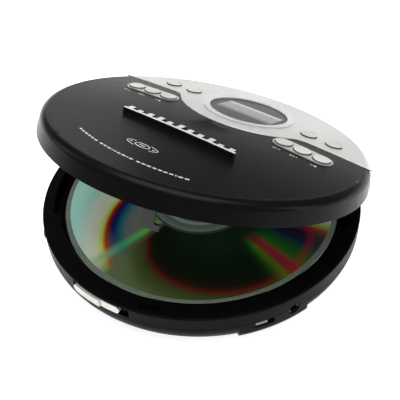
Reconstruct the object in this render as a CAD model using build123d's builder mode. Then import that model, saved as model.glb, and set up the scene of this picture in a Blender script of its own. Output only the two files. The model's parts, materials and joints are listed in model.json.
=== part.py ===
"""Portable disc player: a round case with a hinged lid, a disc on a spindle and a row of keys.

Millimetres, +Z up. The origin is on the surface the feet stand on, under the spindle.
The front of the case faces -Y and the lid's hinge is at +Y. The lid is drawn partly open.
"""
from build123d import *
import os
from math import acos, asin, cos, degrees, pi, radians, sin, sqrt, tan

os.makedirs("parts", exist_ok=True)

# ------------------------------------------------------------------ driving dimensions
# Disc
disc_radius = 60.0
disc_thickness = 1.2
disc_bore_radius = 7.5
disc_seat = 13.5            # height of the disc's underside

# Case
case_radius = 69.4
ring_top = 18.0
parting_height = 11.8
foot_height = 0.8
wall = 1.6
flat_bottom_radius = 58.5
belly_height = 10.3         # where the curved underside meets the upright wall
block_belly_height = 6.9    # the same on the socket block, which is deeper
block_flat_radius = 60.5
block_inner = 50.0
block_start, block_end = -41.5, -17.5   # degrees
well_gap = 1.6              # radial room round the disc
well_floor_top = 11.8
well_floor = 1.2
well_wall = 1.4
parting_groove = 0.25
edge_round = 0.6

# Lid
lid_top = 28.1
lid_dome = 1.84             # fall of the top surface at its edge
lid_rim_gap = 0.3
lid_rim_radius = 69.3
lid_thickness = 2.6
lid_open = 20.4             # degrees, as drawn
hinge_y = 65.6
hinge_z = 16.2
hinge_barrel_radius = 2.2
hinge_cheek_radius = 1.75
hinge_pin_radius = 1.0
hinge_half_width = 13.9
lug_outer, lug_inner = 9.5, 5.6
lug_depth = 3.2
lug_root = 2.5              # how far the lugs run up inside the lid
rear_cut_half_width = 29.5
rear_cut_floor = 12.8

# Silver panel and its window
panel_thickness = 1.2
panel_edge_y = 22.0
panel_bump_radius = 36.0
panel_bump_y = 39.9
panel_corner_radius = 8.0
panel_lower_edge = 19.6
window_y = 31.5
window_radius = 18.0
ring_outer_radius = 21.0
lcd_view_width, lcd_view_depth = 28.5, 13.0

# Keys
key_radius = 3.7
key_gap = 0.3
key_pitch = 8.85
key_travel_room = 3.2       # depth of a key's foot under the top surface
pill_length, pill_width = 27.0, 9.8
pill_x, pill_y = 38.8, 9.6
pill_tilt = 2.5             # degrees
panel_button_radius = 3.6
panel_button_xs = (-43.0, -31.0, 31.0, 43.0)

# Badge
badge_length = 54.0
badge_y = -23.4
badge_rise = 2.4

# Latch
slider_start, slider_end = -98.3, -79.6          # degrees
slider_step = -86.8
slider_travel = 3.0
slider_low, slider_high = 13.1, 16.9
hook_start, hook_end = -73.3, -69.3
hook_barb_end = -67.6
hook_inner, hook_outer = 65.4, 66.8
hook_low = 9.8
hook_top = 21.8
barb_height = 2.2
latch_clearance = 0.4
peg_angle = 155.0
peg_radius = 1.0
peg_reach = 66.2

# Finger notches beside the disc
notch_centres = (211.0, 31.0)
notch_half = 16.5
notch_radius = 64.5
notch_floor = 13.0

# Sockets and side controls
jack_angle = -23.0
jack_height = 11.0
jack_bore_radius = 1.8
jack_bore_length = 14.0
jack_body_width = 6.4
jack_body_height = 4.4
jack_inner = 54.0
dc_angle = 165.0
dc_height = 7.3
dc_bore_radius = 2.1
dc_bore_length = 9.5
dc_body = 6.2
hold_start, hold_end = -36.4, -32.4
hold_travel = 1.9
hold_low, hold_high = 9.2, 11.0
wheel_angle = 231.8
wheel_radius = 3.4
wheel_thickness = 2.2
wheel_height = 12.0
wheel_centre = 66.7

# Mechanism
platter_radius = 13.5
hub_radius = 7.35
hub_top = 16.0
spindle_radius = 1.0
running_gap = 0.05
motor_radius = 10.0
motor_low = 3.4
frame_low = 8.6
frame_thickness = 1.2
frame_half_width = 21.0
rod_x = 16.0
rod_z = 6.2
rod_radius = 1.0
rod_outer_end, rod_inner_end = -57.0, -6.5
lens_home = -25.0
lens_travel = 32.0
sled_low, sled_high = 3.4, 8.2
sled_half_width = 18.2
nose_half_width = 7.5
lens_radius = 2.0
lens_crown = 0.6
turret_radius = 3.4
turret_top = 12.0
rack_module = 0.5
pinion_teeth = 12
wheel_module = 0.4
wheel_teeth = 36
motor_pinion_teeth = 10
rack_line = 21.0            # x of the rack's pitch line
gear_y = -26.0
gear_low = 3.2
gear_height = 1.2
pinion_low, pinion_height = 4.9, 1.9
gear_axle_radius = 0.7
wheel_step_gap = 0.3
sled_motor_radius = 5.2
backlash = 0.10

# Batteries
cell_length, cell_width, cell_height = 67.0, 16.6, 6.0
bay_front = 13.2
bay_half = 35.2
cell_gap = 0.3
door_gap = 0.2
door_thickness = 1.4
rib = 1.2

# Boards and fasteners
board_low = 7.6
board_thickness = 1.0
board_radius = 64.0
board_edge_x = 26.0
lid_board_low = 21.4
lid_board_thickness = 0.8
cover_low = 19.0
cover_thickness = 1.2
cover_radius = 65.9
screw_radius = 1.0
screw_head_radius = 1.9
screw_head_height = 0.9
boss_radius = 3.0
boss_ring_radius = 56.5
boss_angles = (42.0, 138.0, 222.0, 318.0)
boss_split = 6.0
lid_screw_ring = 60.0
lid_screw_angles = (60.0, 120.0, 225.0, 315.0)
foot_radius = 4.0
foot_sink = 0.6
foot_spots = ((-46.0, 20.0), (46.0, 20.0), (-34.0, -36.0), (34.0, -36.0))
grommet_spots = ((-13.5, 8.5), (13.5, 8.5), (-10.8, -58.5), (10.8, -58.5))
grommet_radius = 3.0
grommet_neck = 2.1
grommet_post = 1.2
grommet_low, grommet_high = 7.4, 10.3

# ------------------------------------------------------------------ derived sizes
inner_radius = case_radius - wall
well_radius = disc_radius + well_gap
well_outer = well_radius + well_wall
ring_under = ring_top - well_wall
floor_top = foot_height + wall
disc_top = disc_seat + disc_thickness
well_floor_under = well_floor_top - well_floor
frame_high = frame_low + frame_thickness
board_high = board_low + board_thickness
lid_rim = ring_top + lid_rim_gap
lid_board_high = lid_board_low + lid_board_thickness
key_hole_radius = key_radius + key_gap
button_hole_radius = panel_button_radius + key_gap
cell_low = floor_top + 0.1
bay_rear = bay_front + 2 * (cell_width + cell_gap) + 0.4
door_high = foot_height + door_thickness
pinion_pitch = rack_module * pinion_teeth / 2
wheel_pitch = wheel_module * wheel_teeth / 2
motor_pinion_pitch = wheel_module * motor_pinion_teeth / 2
idler_x = rack_line + pinion_pitch
motor_gear_x = idler_x + wheel_pitch + motor_pinion_pitch


# ------------------------------------------------------------------ planes and helpers
def polar(radius, angle):
    """The point at a radius and an angle in plan."""
    return (radius * cos(radians(angle)), radius * sin(radians(angle)))


def section_plane(angle):
    """An upright plane through the spindle: x outwards, y up."""
    c, s = cos(radians(angle)), sin(radians(angle))
    return Plane(origin=(0, 0, 0), x_dir=(c, s, 0), z_dir=(s, -c, 0))


def side_plane(angle, radius, height):
    """A plane that faces outwards from the side wall: x round the case, y up."""
    c, s = cos(radians(angle)), sin(radians(angle))
    return Plane(origin=(radius * c, radius * s, height), x_dir=(-s, c, 0), z_dir=(c, s, 0))


def spoke_plane(angle, height):
    """A level plane through the spindle with x along a spoke."""
    c, s = cos(radians(angle)), sin(radians(angle))
    return Plane(origin=(0, 0, height), x_dir=(c, s, 0), z_dir=(0, 0, 1))


tilt = radians(lid_open)
lid_frame = Plane(
    origin=(
        0,
        hinge_y - hinge_y * cos(tilt) - hinge_z * sin(tilt),
        hinge_z + hinge_y * sin(tilt) - hinge_z * cos(tilt),
    ),
    x_dir=(1, 0, 0),
    z_dir=(0, sin(tilt), cos(tilt)),
)
lid_axis = Axis(lid_frame.origin, lid_frame.z_dir)


def lid_plane(height):
    """A plane across the lid, at a height counted with the lid shut."""
    return lid_frame.offset(height)


def lid_section(angle=0.0):
    """A plane through the lid's own axis: x outwards, y along that axis."""
    c, s = cos(radians(angle)), sin(radians(angle))
    x_dir = lid_frame.x_dir * c + lid_frame.y_dir * s
    z_dir = lid_frame.x_dir * s - lid_frame.y_dir * c
    return Plane(origin=lid_frame.origin, x_dir=x_dir, z_dir=z_dir)


def band(inner, outer, low, high, start, end, mode=Mode.ADD, lid=False):
    """A piece of a ring between two angles, on the case or on the lid."""
    plane = lid_section(start) if lid else section_plane(start)
    axis = lid_axis if lid else Axis.Z
    with BuildSketch(plane) as cut:
        with Locations(((inner + outer) / 2, (low + high) / 2)):
            Rectangle(outer - inner, high - low)
    revolve(cut.sketch, axis=axis, revolution_arc=end - start, mode=mode)


def post(plane, spots, radius, height, mode=Mode.ADD):
    """Round posts or holes at several places on a plane."""
    with BuildSketch(plane) as rounds:
        with Locations(*spots):
            Circle(radius)
    extrude(rounds.sketch, amount=height, mode=mode)


def block(plane, width, depth, height, centre=(0, 0), mode=Mode.ADD):
    """A box on a plane."""
    with BuildSketch(plane) as base:
        with Locations(centre):
            Rectangle(width, depth)
    extrude(base.sketch, amount=height, mode=mode)


def belly_outline(flat, rim, low, belly, top, inner=0.0):
    """Half section of the bowl: flat underside, curved belly, upright rim."""
    bend = ((flat + (rim - flat) * sqrt(0.5)), belly - (belly - low) * sqrt(0.5))
    Line((inner, low), (flat, low))
    ThreePointArc((flat, low), bend, (rim, belly))
    Line((rim, belly), (rim, top))
    Line((rim, top), (inner, top))
    Line((inner, top), (inner, low))


def lid_outline(inset, low):
    """Half section of the lid, with its surface moved in by an inset."""
    edge_low = (lid_rim_radius - 0.9 - inset, lid_top - 4.7 - 0.15 * inset)
    edge_mid = (lid_rim_radius - 2.0 - 0.72 * inset, lid_top - 2.5 - 0.72 * inset)
    edge_high = (lid_rim_radius - 4.7 - 0.25 * inset, lid_top - lid_dome * 0.9 - inset)
    Line((0, low), (lid_rim_radius - inset, low))
    Line((lid_rim_radius - inset, low), edge_low)
    ThreePointArc(edge_low, edge_mid, edge_high)
    drop = lid_top - inset - edge_high[1]
    dome_radius = (edge_high[0] ** 2 + drop ** 2) / (2 * drop)
    dome_angle = degrees(asin(edge_high[0] / dome_radius))
    CenterArc((0, lid_top - inset - dome_radius), dome_radius, 90 - dome_angle, dome_angle)
    Line((0, lid_top - inset), (0, low))


def lid_body(inset, low, mode=Mode.ADD):
    """The lid's solid form, moved in by an inset, down to a height."""
    with BuildSketch(lid_section()) as half:
        with BuildLine():
            lid_outline(inset, low)
        make_face()
    revolve(half.sketch, axis=lid_axis, mode=mode)


def lid_skin(outer_inset, inner_inset, low):
    """A layer that follows the lid's surface between two insets."""
    lid_body(outer_inset, low)
    lid_body(inner_inset, low - 1.0, Mode.SUBTRACT)


def keep_outline(sketch):
    """Keep what stands over or under an outline drawn across the lid."""
    extrude(sketch, amount=60, mode=Mode.INTERSECT)


def involute(angle):
    """The involute function."""
    return tan(angle) - angle


def gear_points(module, teeth, addendum, dedendum, phase):
    """Corners of a spur gear's outline, with involute flanks."""
    pitch = module * teeth / 2
    pressure = radians(20)
    base = pitch * cos(pressure)
    tip = pitch + addendum * module
    root = pitch - dedendum * module
    half = pi / (2 * teeth) - backlash / (2 * pitch) + involute(pressure)
    low = max(base, root)
    radii = [low + (tip - low) * k / 3 for k in range(4)]
    flank = [(r, half - involute(acos(min(1.0, base / r)))) for r in radii]
    points = []
    for tooth in range(teeth):
        centre = radians(phase) + 2 * pi * tooth / teeth
        rise = [(root, -flank[0][1])] + [(r, -a) for r, a in flank]
        fall = [(r, a) for r, a in reversed(flank)] + [(root, flank[0][1])]
        for r, a in rise + fall:
            points.append((r * cos(centre + a), r * sin(centre + a)))
    cleaned = []
    for p in points:
        if not cleaned or (p[0] - cleaned[-1][0]) ** 2 + (p[1] - cleaned[-1][1]) ** 2 > 1e-6:
            cleaned.append(p)
    return cleaned


def gear(plane, module, teeth, addendum, dedendum, phase, height):
    """A spur gear standing on a plane."""
    with BuildSketch(plane) as face:
        with BuildLine():
            Polyline(*gear_points(module, teeth, addendum, dedendum, phase), close=True)
        make_face()
    extrude(face.sketch, amount=height)


pieces = []


def finish(name, part):
    """Label a finished piece and write it."""
    part.label = name
    pieces.append(name)
    export_step(part, f"parts/{name}.step")


# ------------------------------------------------------------------ lower case
with BuildPart() as rear_floor:
    with BuildSketch(Plane.XZ) as rear_half:
        with BuildLine():
            belly_outline(flat_bottom_radius, case_radius, foot_height, belly_height, parting_height)
        make_face()
    revolve(rear_half.sketch, axis=Axis.Z)
    with BuildSketch(Plane.XY.offset(foot_height)) as rear_area:
        with Locations((0, bay_rear + 12)):
            Rectangle(2 * bay_half + 2 * rib, 24)
    extrude(rear_area.sketch, amount=door_thickness + 2 * wall - 0.4, mode=Mode.INTERSECT)

with BuildPart() as bottom_case:
    with BuildSketch(Plane.XZ) as outer_half:
        with BuildLine():
            belly_outline(flat_bottom_radius, case_radius, foot_height, belly_height, parting_height)
        make_face()
    revolve(outer_half.sketch, axis=Axis.Z)
    with BuildSketch(section_plane(block_start)) as block_half:
        with BuildLine():
            belly_outline(block_flat_radius, case_radius, foot_height, block_belly_height, parting_height,
                          block_inner)
        make_face()
    revolve(block_half.sketch, axis=Axis.Z, revolution_arc=block_end - block_start)
    with BuildSketch(Plane.XZ) as inner_half:
        with BuildLine():
            belly_outline(flat_bottom_radius - 1, inner_radius, floor_top, belly_height, parting_height + 1)
        make_face()
    revolve(inner_half.sketch, axis=Axis.Z, mode=Mode.SUBTRACT)
    with BuildSketch(section_plane(block_start + 1.5)) as block_room:
        with BuildLine():
            belly_outline(block_flat_radius - 1, inner_radius, floor_top, block_belly_height,
                          parting_height + 1, block_inner)
        make_face()
    revolve(block_room.sketch, axis=Axis.Z, revolution_arc=block_end - block_start - 3.0, mode=Mode.SUBTRACT)
    add(rear_floor.part)
    # bay walls
    bay_depth = bay_rear - bay_front
    bay_middle = (bay_front + bay_rear) / 2
    with BuildSketch(Plane.XY.offset(floor_top - 0.5)) as bay_walls:
        with Locations((0, bay_middle)):
            Rectangle(2 * (bay_half + rib), bay_depth + 2 * rib)
            Rectangle(2 * bay_half, bay_depth, mode=Mode.SUBTRACT)
    extrude(bay_walls.sketch, amount=well_floor_under + 0.3 - floor_top)
    # screw bosses, damper posts and board posts
    post(Plane.XY.offset(floor_top), [polar(boss_ring_radius, a) for a in boss_angles], boss_radius,
         boss_split - floor_top)
    post(Plane.XY.offset(floor_top), grommet_spots, grommet_neck, grommet_low - floor_top)
    post(Plane.XY.offset(floor_top), grommet_spots, grommet_post, grommet_high - floor_top)
    post(Plane.XY.offset(floor_top), ((50.0, -8.0), (34.0, -44.0)), 2.0, board_low - floor_top)
    # battery door opening, open to the rear
    block(Plane.XY, 2 * (bay_half - 0.7), 60, door_high + 0.15, (0, bay_front - 0.2 + 30), Mode.SUBTRACT)
    block(Plane.XY, 2 * (bay_half - 0.7), bay_depth, floor_top + 3, (0, bay_middle), Mode.SUBTRACT)
    # screw holes with sunk heads, and foot recesses
    post(Plane.XY, [polar(boss_ring_radius, a) for a in boss_angles], screw_head_radius + 0.2,
         foot_height + screw_head_height + 0.3, Mode.SUBTRACT)
    post(Plane.XY, [polar(boss_ring_radius, a) for a in boss_angles], screw_radius + 0.1, boss_split + 1,
         Mode.SUBTRACT)
    post(Plane.XY, foot_spots, foot_radius + 0.1, foot_height + foot_sink, Mode.SUBTRACT)
    # headphone socket, power socket, hold switch and volume wheel openings
    with BuildSketch(side_plane(jack_angle, inner_radius - 1.5, jack_height)) as jack_notch:
        Circle(jack_bore_radius + 0.6)
        with Locations((0, 2)):
            Rectangle(2 * jack_bore_radius + 1.2, 4)
    extrude(jack_notch.sketch, amount=5, mode=Mode.SUBTRACT)
    post(side_plane(dc_angle, inner_radius - 6, dc_height), [(0, 0)], dc_bore_radius + 0.75, 10,
         Mode.SUBTRACT)
    band(inner_radius - 0.4, case_radius + 1, hold_low - 0.5, hold_high + 0.4, hold_start - 0.5,
         hold_end + hold_travel + 0.3, Mode.SUBTRACT)
    block(side_plane(wheel_angle, well_outer + 0.1, parting_height), wheel_thickness + 0.7, 7.0, 10,
          mode=Mode.SUBTRACT)
finish("bottom_case", bottom_case.part)

# ------------------------------------------------------------------ upper case: ring and disc well
with BuildPart() as mid_case:
    with BuildSketch(Plane.XZ) as ring_half:
        with BuildLine():
            Polyline(
                (0, well_floor_under), (well_outer, well_floor_under), (well_outer, ring_under),
                (inner_radius, ring_under), (inner_radius, parting_height),
                (case_radius - parting_groove, parting_height),
                (case_radius - parting_groove, parting_height + parting_groove),
                (case_radius, parting_height + parting_groove),
                (case_radius - 0.1, ring_top - edge_round),
            )
            ThreePointArc(
                (case_radius - 0.1, ring_top - edge_round),
                (case_radius - 0.1 - 0.3 * edge_round, ring_top - 0.3 * edge_round),
                (case_radius - 0.1 - edge_round, ring_top),
            )
            Polyline(
                (case_radius - 0.1 - edge_round, ring_top), (well_radius + 0.4, ring_top),
                (well_radius, ring_top - 0.4), (well_radius, well_floor_top), (0, well_floor_top),
                (0, well_floor_under),
            )
        make_face()
    revolve(ring_half.sketch, axis=Axis.Z)
    # walls of the finger notches, backing of the slider and floor of the hinge recess
    for centre in notch_centres:
        band(well_radius + 0.2, notch_radius + well_wall, well_floor_under, ring_top - 0.6,
             centre - notch_half - 1.5, centre + notch_half + 1.5)
    band(inner_radius - wall, inner_radius + 0.2, parting_height, ring_under + 0.1, slider_start - 3.0,
         slider_end + slider_travel + 1.5)
    rear_angle = 27.0
    band(well_outer - 0.2, case_radius - 0.7, parting_height, rear_cut_floor + 0.6, 90 - rear_angle,
         90 + rear_angle)
    # fastening bosses
    post(Plane.XY.offset(boss_split), [polar(boss_ring_radius, a) for a in boss_angles], boss_radius,
         well_floor_under + 0.2 - boss_split)
    post(Plane.XY.offset(boss_split), [polar(boss_ring_radius, a) for a in boss_angles], screw_radius, 4.4,
         Mode.SUBTRACT)
    # openings in the well floor for the turntable and the lens
    post(Plane.XY.offset(well_floor_under - 1), [(0, 0)], platter_radius + 1.2, 3, Mode.SUBTRACT)
    slot_end = well_radius - 0.6
    block(Plane.XY.offset(well_floor_under - 1), 2 * (turret_radius + 1.6), slot_end, 3, (0, -slot_end / 2),
          Mode.SUBTRACT)
    # finger notches
    for centre in notch_centres:
        band(disc_radius - 2, notch_radius, notch_floor, ring_top + 1, centre - notch_half,
             centre + notch_half, Mode.SUBTRACT)
    # hook slot and the hole for the lid switch's peg
    band(hook_inner - 0.5, hook_outer + 0.8, ring_under - 1, ring_top + 1, hook_start - 0.8,
         hook_barb_end + 1.0, Mode.SUBTRACT)
    post(Plane.XY.offset(ring_under - 1), [polar(peg_reach, peg_angle)], peg_radius + 0.8, 4, Mode.SUBTRACT)
    # slider recess and the slot for its stem
    band(inner_radius + 0.2, case_radius + 1, slider_low - 0.2, slider_high + 0.2, slider_start - 1.0,
         slider_end + slider_travel + 0.3, Mode.SUBTRACT)
    band(inner_radius - wall - 0.5, case_radius, 14.0, 16.0, -90.9, -87.1 + slider_travel, Mode.SUBTRACT)
    # headphone socket, volume wheel
    block(spoke_plane(jack_angle, jack_height - jack_body_height / 2 - 1), 13.2, jack_body_width + 0.3,
          jack_body_height + 1.3, (jack_inner - 0.3 + 6.6, 0), Mode.SUBTRACT)
    post(side_plane(jack_angle, well_outer, jack_height), [(0, 0)], jack_bore_radius + 0.6, 10, Mode.SUBTRACT)
    block(side_plane(wheel_angle, well_outer + 0.05, wheel_height), wheel_thickness + 0.7,
          2 * wheel_radius + 0.7, 10, mode=Mode.SUBTRACT)
    # hinge recess, hinge blocks and their bore
    block(Plane.XY.offset(rear_cut_floor), 2 * rear_cut_half_width, 12, 8, (0, well_outer + 0.05 + 6),
          Mode.SUBTRACT)
    block_width = hinge_half_width - lug_outer - 0.4
    for side in (-1, 1):
        middle = side * (hinge_half_width - block_width / 2)
        with BuildSketch(Plane.YZ.offset(middle - block_width / 2)) as cheek:
            with Locations((hinge_y, (rear_cut_floor + hinge_z) / 2 - 0.25)):
                Rectangle(2 * hinge_cheek_radius, hinge_z - rear_cut_floor + 0.5)
            with Locations((hinge_y, hinge_z)):
                Circle(hinge_cheek_radius)
        extrude(cheek.sketch, amount=block_width)
    with BuildSketch(Plane.YZ.offset(-hinge_half_width - 1)) as pin_hole:
        with Locations((hinge_y, hinge_z)):
            Circle(hinge_pin_radius)
    extrude(pin_hole.sketch, amount=2 * hinge_half_width + 2, mode=Mode.SUBTRACT)
finish("mid_case", mid_case.part)

# ------------------------------------------------------------------ feet and case screws
with BuildPart() as rubber_feet:
    post(Plane.XY, foot_spots, foot_radius, foot_height + foot_sink)
    chamfer(rubber_feet.faces().sort_by(Axis.Z)[:4].edges(), 0.3)
finish("rubber_feet", rubber_feet.part)

with BuildPart() as case_screws:
    spots = [polar(boss_ring_radius, a) for a in boss_angles]
    post(Plane.XY.offset(foot_height + 0.3), spots, screw_head_radius, screw_head_height)
    post(Plane.XY.offset(foot_height + 0.3), spots, screw_radius, 8.6)
    with BuildSketch(Plane.XY.offset(foot_height)) as crosses:
        with Locations(*spots):
            Rectangle(2.0, 0.5)
            Rectangle(0.5, 2.0)
    extrude(crosses.sketch, amount=0.8, mode=Mode.SUBTRACT)
finish("case_screws", case_screws.part)

# ------------------------------------------------------------------ hinge
with BuildPart() as hinge_pin:
    with BuildSketch(Plane.YZ.offset(-hinge_half_width)) as pin_face:
        with Locations((hinge_y, hinge_z)):
            Circle(hinge_pin_radius)
    extrude(pin_face.sketch, amount=2 * hinge_half_width)
finish("hinge_pin", hinge_pin.part)

spring_turns = 7
spring_wire = 0.28
spring_mean = 1.55
spring_pitch = 0.85
with BuildPart() as lid_spring:
    spring_length = spring_turns * spring_pitch
    with BuildLine() as coil_path:
        Helix(spring_pitch, spring_length, spring_mean, center=(-spring_length / 2, hinge_y, hinge_z),
              direction=(1, 0, 0))
    with BuildSketch(Plane(origin=coil_path.line @ 0, z_dir=coil_path.line % 0)):
        Circle(spring_wire)
    sweep(path=coil_path.line, is_frenet=True)
finish("lid_spring", lid_spring.part)

# ------------------------------------------------------------------ latch
with BuildPart() as open_button:
    band(inner_radius + 0.35, case_radius + 0.9, slider_low, slider_high, slider_start, slider_end)
    slider_middle = case_radius * cos(radians((slider_start + slider_end) / 2))
    slider_chord = 2 * case_radius * sin(radians((slider_end - slider_start) / 2))
    with BuildSketch(Plane.XZ.offset(40)) as pill:
        with Locations((slider_middle, (slider_low + slider_high) / 2)):
            SlotOverall(slider_chord, slider_high - slider_low)
    extrude(pill.sketch, amount=40, mode=Mode.INTERSECT)
    band(case_radius + 0.2, case_radius + 2, slider_low - 1, slider_high + 1, slider_step, slider_end + 2,
         Mode.SUBTRACT)
    band(hook_inner - 0.1, inner_radius + 0.5, 14.2, 15.8, -90.6, -87.4)
finish("open_button", open_button.part)

with BuildPart() as latch_catch:
    catch_inner, catch_outer = well_outer + 0.4, hook_inner - 0.6
    catch_low = hook_low + barb_height + latch_clearance + 1.2
    band(catch_inner, catch_outer, catch_low, 16.0, -91.6, -62.6)
    band(catch_outer - 0.2, hook_inner - 0.1, catch_low, 16.0, -91.6, -86.4)
    catch_face = hook_barb_end + 0.5
    band(catch_outer - 0.2, hook_outer, hook_low + barb_height + latch_clearance, 15.0, catch_face,
         catch_face + 3.0)
finish("latch_catch", latch_catch.part)

latch_spring_start, latch_spring_middle = -59.2, -57.55
latch_spring_length, latch_spring_pitch = 3.6, 1.0
latch_spring_wire = 0.17
with BuildPart() as latch_spring:
    coil_x, coil_y = polar((catch_inner + catch_outer) / 2, latch_spring_start)
    along = radians(latch_spring_middle)
    with BuildLine() as latch_path:
        Helix(latch_spring_pitch, latch_spring_length, 0.5, center=(coil_x, coil_y, 14.8),
              direction=(-sin(along), cos(along), 0))
    with BuildSketch(Plane(origin=latch_path.line @ 0, z_dir=latch_path.line % 0)):
        Circle(latch_spring_wire)
    sweep(path=latch_path.line, is_frenet=True)
finish("latch_spring", latch_spring.part)

with BuildPart() as lid_switch:
    band(peg_reach - 2.2, peg_reach + 1.3, 9.4, 12.0, peg_angle - 2.4, peg_angle + 2.4)
    band(peg_reach - 0.8, peg_reach + 0.8, 11.9, 12.5, peg_angle - 0.8, peg_angle + 0.8)
finish("lid_switch", lid_switch.part)

# ------------------------------------------------------------------ sockets and side controls
with BuildPart() as headphone_jack:
    block(spoke_plane(jack_angle, jack_height - jack_body_height / 2), inner_radius - 0.1 - jack_inner,
          jack_body_width, jack_body_height, ((inner_radius - 0.1 + jack_inner) / 2, 0))
    post(side_plane(jack_angle, inner_radius - 1, jack_height), [(0, 0)], jack_bore_radius + 0.35, 2.1)
    jack_mouth = inner_radius + 1.1
    post(side_plane(jack_angle, jack_mouth - jack_bore_length, jack_height), [(0, 0)], jack_bore_radius,
         jack_bore_length + 1, Mode.SUBTRACT)
finish("headphone_jack", headphone_jack.part)

with BuildPart() as power_jack:
    block(spoke_plane(dc_angle, dc_height - dc_body / 2), 8.4, 8.0, dc_body, (inner_radius - 9.6, 0))
    post(side_plane(dc_angle, inner_radius - 6, dc_height), [(0, 0)], dc_bore_radius + 0.45, 6.0)
    dc_mouth = inner_radius
    post(side_plane(dc_angle, dc_mouth - dc_bore_length, dc_height), [(0, 0)], dc_bore_radius,
         dc_bore_length + 1, Mode.SUBTRACT)
    post(side_plane(dc_angle, dc_mouth - dc_bore_length - 0.2, dc_height), [(0, 0)], 0.6,
         dc_bore_length - 0.8)
finish("power_jack", power_jack.part)

with BuildPart() as hold_switch:
    band(inner_radius - 3.8, inner_radius - 0.6, board_high, hold_high + 0.5, hold_start - 1.2,
         hold_end + hold_travel + 1.0)
    band(inner_radius - 1.8, inner_radius, hold_low + 0.2, hold_high - 0.2, hold_start + 0.7,
         hold_end + hold_travel - 0.7, Mode.SUBTRACT)
finish("hold_switch", hold_switch.part)

with BuildPart() as hold_knob:
    band(inner_radius - 0.2, case_radius - 0.5, hold_low, hold_high, hold_start, hold_end)
    band(inner_radius - 1.4, inner_radius, hold_low + 0.5, hold_high - 0.5, hold_start + 1.2,
         hold_end - 1.2)
finish("hold_knob", hold_knob.part)

wheel_plane = side_plane(wheel_angle, wheel_centre, wheel_height)
wheel_axis_plane = Plane(origin=wheel_plane.origin, x_dir=wheel_plane.z_dir, z_dir=wheel_plane.x_dir)
with BuildPart() as volume_wheel:
    with BuildSketch(wheel_axis_plane.offset(-wheel_thickness / 2)) as wheel_face:
        Circle(wheel_radius)
        with PolarLocations(wheel_radius, 24):
            Circle(0.18, mode=Mode.SUBTRACT)
    extrude(wheel_face.sketch, amount=wheel_thickness)
    post(wheel_axis_plane, [(0, 0)], 0.8, wheel_thickness / 2 + 2.0)
finish("volume_wheel", volume_wheel.part)

with BuildPart() as volume_encoder:
    block(wheel_axis_plane.offset(wheel_thickness / 2 + 0.35), 3.0, 5.2, 2.6, (-1.2, 0))
    post(wheel_axis_plane, [(0, 0)], 0.8 + running_gap, 6, Mode.SUBTRACT)
finish("volume_encoder", volume_encoder.part)

# ------------------------------------------------------------------ spindle, turntable and disc
with BuildPart() as spindle_motor:
    post(Plane.XY.offset(motor_low), [(0, 0)], motor_radius, frame_low - motor_low)
    fillet(spindle_motor.faces().sort_by(Axis.Z)[0].edges(), 0.8)
    post(Plane.XY.offset(frame_low), [(0, 0)], 3.0, 1.6)
    post(Plane.XY.offset(motor_low + 1), [(0, 0)], spindle_radius + running_gap, 12, Mode.SUBTRACT)
finish("spindle_motor", spindle_motor.part)

with BuildPart() as turntable:
    post(Plane.XY.offset(motor_low + 1.2), [(0, 0)], spindle_radius, 9)
    post(Plane.XY.offset(disc_seat - 1.9), [(0, 0)], platter_radius, 1.9 - running_gap)
    post(Plane.XY.offset(disc_seat - 1.9), [(0, 0)], hub_radius, hub_top - disc_seat + 1.9)
    chamfer(turntable.faces().sort_by(Axis.Z)[-1].edges(), 0.9)
    with PolarLocations(hub_radius - 1.2, 3):
        with Locations((0, 0, disc_top + 0.1)):
            Sphere(0.9, mode=Mode.SUBTRACT)
finish("turntable", turntable.part)

with BuildPart() as clamp_balls:
    with PolarLocations(hub_radius - 1.2, 3):
        with Locations((0, 0, disc_top + 0.1)):
            Sphere(0.88)
finish("clamp_balls", clamp_balls.part)

with BuildPart() as compact_disc:
    with BuildSketch(Plane.XY.offset(disc_seat)) as disc_face:
        Circle(disc_radius)
        Circle(disc_bore_radius, mode=Mode.SUBTRACT)
    extrude(disc_face.sketch, amount=disc_thickness)
    chamfer(compact_disc.edges().filter_by(GeomType.CIRCLE).group_by(SortBy.RADIUS)[-1], 0.15)
finish("compact_disc", compact_disc.part)

# ------------------------------------------------------------------ mechanism frame
holder_length = 2.5
with BuildPart() as mech_frame:
    with BuildSketch(Plane.XY.offset(frame_low)) as frame_area:
        with Locations((0, -25)):
            Rectangle(2 * frame_half_width, 73.6)
        with Locations(((idler_x + motor_gear_x) / 2 + 1, gear_y)):
            Rectangle(motor_gear_x - idler_x + 16, 14)
        Circle(62.0, mode=Mode.INTERSECT)
        Circle(3.1, mode=Mode.SUBTRACT)
        with Locations((0, -45)):
            Rectangle(2 * (turret_radius + 0.9), 50, mode=Mode.SUBTRACT)
        with Locations(*grommet_spots):
            Circle(grommet_neck, mode=Mode.SUBTRACT)
        with Locations((idler_x, gear_y)):
            Circle(gear_axle_radius + running_gap, mode=Mode.SUBTRACT)
    extrude(frame_area.sketch, amount=frame_thickness)
    for side in (-1, 1):
        for end in (rod_outer_end + holder_length / 2, rod_inner_end - holder_length / 2):
            block(Plane.XY.offset(rod_z - 1.8), 4.4, holder_length, frame_low - rod_z + 1.8,
                  (side * rod_x, end))
    with BuildSketch(Plane.XZ.offset(2)) as rod_holes:
        with Locations((-rod_x, rod_z), (rod_x, rod_z)):
            Circle(rod_radius)
    extrude(rod_holes.sketch, amount=60, mode=Mode.SUBTRACT)
finish("mech_frame", mech_frame.part)

with BuildPart() as guide_rods:
    with BuildSketch(Plane.XZ.offset(-rod_inner_end)) as rod_ends:
        with Locations((-rod_x, rod_z), (rod_x, rod_z)):
            Circle(rod_radius)
    extrude(rod_ends.sketch, amount=rod_inner_end - rod_outer_end)
finish("guide_rods", guide_rods.part)

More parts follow.
